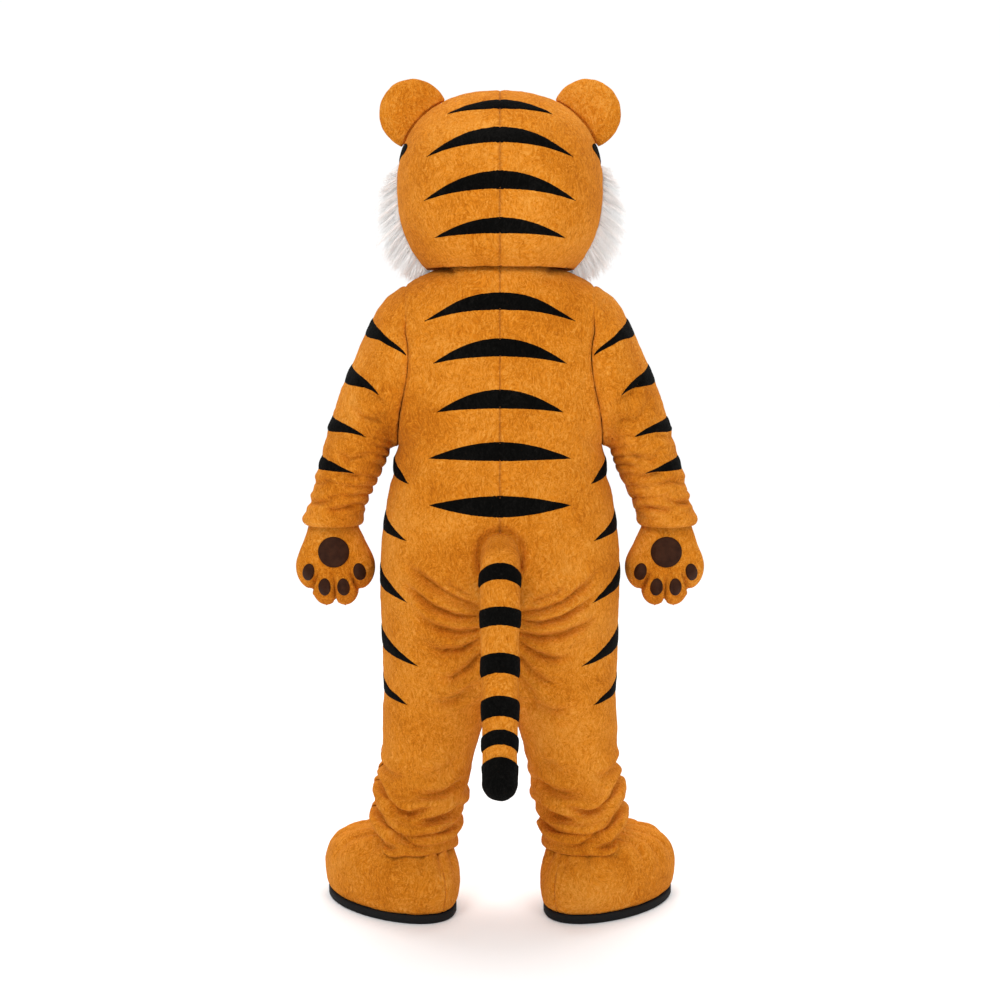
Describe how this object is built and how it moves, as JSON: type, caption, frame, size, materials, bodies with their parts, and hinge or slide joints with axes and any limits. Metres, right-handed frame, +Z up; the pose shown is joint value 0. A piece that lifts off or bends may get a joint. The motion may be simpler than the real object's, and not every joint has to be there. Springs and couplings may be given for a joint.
{
  "type": "tiger mascot costume",
  "caption": "Full-body tiger mascot costume standing as worn: hollow plush head, one-piece striped suit, paw gloves, ringed tail and soled paw boots",
  "frame": {"origin": "between the wearer's shoulders at the height where the shoulder cloth is carried, 1.470 m above the floor under the soles", "axes": "+Z up along the wearer; -Y out of the wearer's back, +Y forward; +X to the wearer's right"},
  "size_m": [0.9614, 0.7475, 1.9331],
  "materials": {
    "orange_plush": "short dense pile",
    "black_plush": "short dense pile",
    "white_fur": "long straight pile",
    "brown_pad": "smooth satin",
    "black_sole": "matte",
    "eye_plastic": "polished",
    "nose_plastic": "satin"
  },
  "bodies": {
    "root": {"suit_back_left": "orange_plush", "suit_front_left": "orange_plush", "sleeve_left": "orange_plush", "head_back_left": "orange_plush", "ear_left": "orange_plush", "cheek_fur_left": "white_fur", "eye_left": "eye_plastic", "glove_left": "orange_plush", "palm_pad_left": "brown_pad", "boot_left": "orange_plush", "sole_left": "black_sole", "flank_stripe_left_1": "black_plush", "flank_stripe_left_2": "black_plush", "flank_stripe_left_3": "black_plush", "flank_stripe_left_4": "black_plush", "flank_stripe_left_5": "black_plush", "sleeve_stripe_left_1": "black_plush", "sleeve_stripe_left_2": "black_plush", "sleeve_stripe_left_3": "black_plush", "sleeve_stripe_left_4": "black_plush", "suit_back_right": "orange_plush", "suit_front_right": "orange_plush", "sleeve_right": "orange_plush", "head_back_right": "orange_plush", "ear_right": "orange_plush", "cheek_fur_right": "white_fur", "eye_right": "eye_plastic", "glove_right": "orange_plush", "palm_pad_right": "brown_pad", "boot_right": "orange_plush", "sole_right": "black_sole", "flank_stripe_right_1": "black_plush", "flank_stripe_right_2": "black_plush", "flank_stripe_right_3": "black_plush", "flank_stripe_right_4": "black_plush", "flank_stripe_right_5": "black_plush", "sleeve_stripe_right_1": "black_plush", "sleeve_stripe_right_2": "black_plush", "sleeve_stripe_right_3": "black_plush", "sleeve_stripe_right_4": "black_plush", "head_front": "orange_plush", "muzzle": "white_fur", "nose": "nose_plastic", "tail": "orange_plush", "tail_tip": "black_plush", "tail_band_1": "black_plush", "back_stripe_1": "black_plush", "tail_band_2": "black_plush", "back_stripe_2": "black_plush", "tail_band_3": "black_plush", "back_stripe_3": "black_plush", "tail_band_4": "black_plush", "back_stripe_4": "black_plush", "tail_band_5": "black_plush", "back_stripe_5": "black_plush", "head_stripe_1": "black_plush", "head_stripe_2": "black_plush", "head_stripe_3": "black_plush", "head_stripe_4": "black_plush"}
  },
  "joints": []
}
